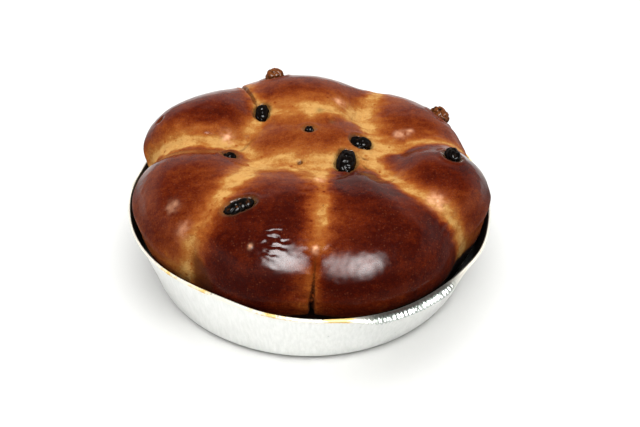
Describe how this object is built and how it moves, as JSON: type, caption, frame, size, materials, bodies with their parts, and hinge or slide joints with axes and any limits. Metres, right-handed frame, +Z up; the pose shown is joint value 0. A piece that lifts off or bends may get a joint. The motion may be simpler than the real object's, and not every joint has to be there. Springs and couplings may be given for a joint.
{
  "type": "pull-apart challah",
  "caption": "Round raisin loaf of plump rolls fused in a ring around a middle one, baked glossy brown in its own shallow foil pan.",
  "frame": {"origin": "centre of the foil pan's flat base, on the surface that it stands on", "axes": "+Z up, -Y towards the front, where the seam between the two largest rolls runs, +X to the right of a viewer at the front"},
  "size_m": [0.1791, 0.1807, 0.069],
  "materials": {
    "crust": "egg-washed bread crust, mahogany on the crests and golden in the seams",
    "raisin_skin": "wrinkled, dark and glossy",
    "foil": "bright pressed foil with fine pleats and a curled rim"
  },
  "bodies": {
    "root": {"foil_pan": "foil", "loaf": "crust", "raisin_1": "raisin_skin", "raisin_2": "raisin_skin", "raisin_3": "raisin_skin", "raisin_4": "raisin_skin", "raisin_5": "raisin_skin", "raisin_6": "raisin_skin", "raisin_7": "raisin_skin", "raisin_8": "raisin_skin", "raisin_9": "raisin_skin"}
  },
  "joints": []
}
